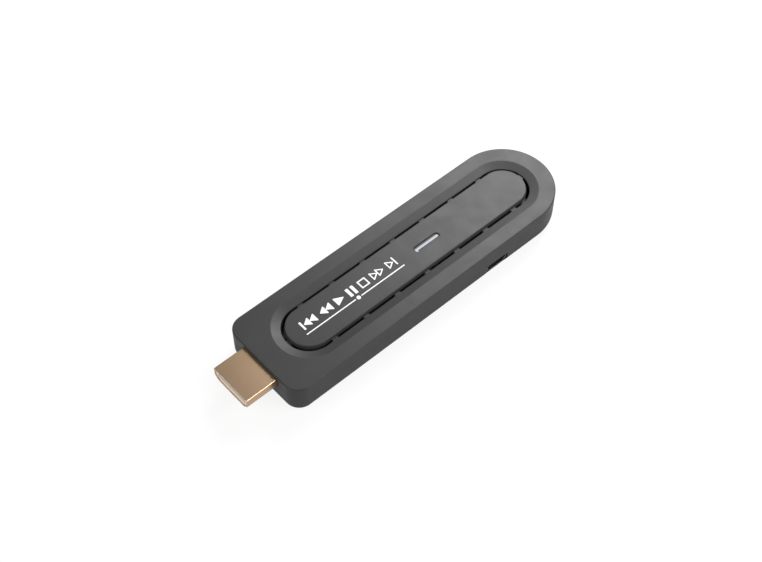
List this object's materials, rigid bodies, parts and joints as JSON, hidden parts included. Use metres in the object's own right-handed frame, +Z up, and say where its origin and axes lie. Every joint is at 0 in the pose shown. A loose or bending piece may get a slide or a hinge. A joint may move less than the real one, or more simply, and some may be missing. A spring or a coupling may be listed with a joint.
{
  "type": "streaming media player",
  "caption": "Stick-shaped streaming media player with a gold HDMI plug, a half-round far end, a vent ring around a raised panel, a micro-USB power socket and a push-button.",
  "frame": {"origin": "bottom centre of the whole object's bounding box, plug included, on the plane of the flat underside", "axes": "+X from the HDMI plug towards the half-round far end, +Y towards the side with the push-button (the micro-USB socket is at -Y), +Z up out of the raised panel"},
  "size_m": [0.1154, 0.0296, 0.0106],
  "materials": {
    "case_plastic": "satin moulded",
    "panel_plastic": "satin moulded",
    "base_plastic": "fine textured",
    "label_film": "matt",
    "light_pipe_plastic": "frosted translucent",
    "plug_gold": "satin plated",
    "plug_plastic": "moulded",
    "contact_gold": "plated",
    "socket_steel": "satin plated",
    "socket_plastic": "moulded",
    "board_laminate": "solder mask",
    "screw_steel": "zinc plated",
    "chip_resin": "moulded",
    "module_laminate": "solder mask",
    "can_steel": "tinned",
    "ferrite": "matt",
    "capacitor_ceramic": "fired",
    "resistor_ceramic": "fired",
    "antenna_ceramic": "fired",
    "led_resin": "clear",
    "pad_silicone": "soft",
    "spreader_metal": "black anodised",
    "switch_plastic": "moulded",
    "plunger_plastic": "moulded",
    "button_plastic": "satin moulded",
    "print_ink": "screen print"
  },
  "bodies": {
    "root": {"top_case": "case_plastic", "top_panel": "panel_plastic", "bottom_case": "base_plastic", "rating_label": "label_film", "light_pipe": "light_pipe_plastic", "hdmi_shell": "plug_gold", "hdmi_insulator": "plug_plastic", "hdmi_contacts_upper": "contact_gold", "hdmi_contacts_lower": "contact_gold", "usb_shell": "socket_steel", "usb_tongue": "socket_plastic", "usb_contacts": "contact_gold", "main_board": "board_laminate", "board_screws": "screw_steel", "system_chip": "chip_resin", "ram_chip_1": "chip_resin", "ram_chip_2": "chip_resin", "flash_chip": "chip_resin", "power_chip": "chip_resin", "wifi_module": "module_laminate", "wifi_shield": "can_steel", "crystal_can": "can_steel", "power_inductor_1": "ferrite", "power_inductor_2": "ferrite", "smd_capacitors": "capacitor_ceramic", "smd_resistors": "resistor_ceramic", "chip_antenna": "antenna_ceramic", "status_led": "led_resin", "shield_frame": "can_steel", "shield_lid": "can_steel", "thermal_pad": "pad_silicone", "heat_spreader": "spreader_metal", "spreader_pad": "pad_silicone", "switch_body": "switch_plastic", "switch_cover": "can_steel"},
    "button": {"button_cap": "button_plastic"},
    "plunger": {"switch_plunger": "plunger_plastic"}
  },
  "joints": [
    {"name": "button_press", "type": "slide", "parent": "root", "child": "button", "axis": [0, -1, 0], "range_m": [0, 0.0003], "stiffness_N_per_m": 1500},
    {"name": "plunger_press", "type": "slide", "parent": "root", "child": "plunger", "axis": [0, -1, 0], "range_m": [0, 0.0003]}
  ],
  "couplings": [
    {"joint": "plunger_press", "follows": "button_press", "ratio": 1}
  ]
}
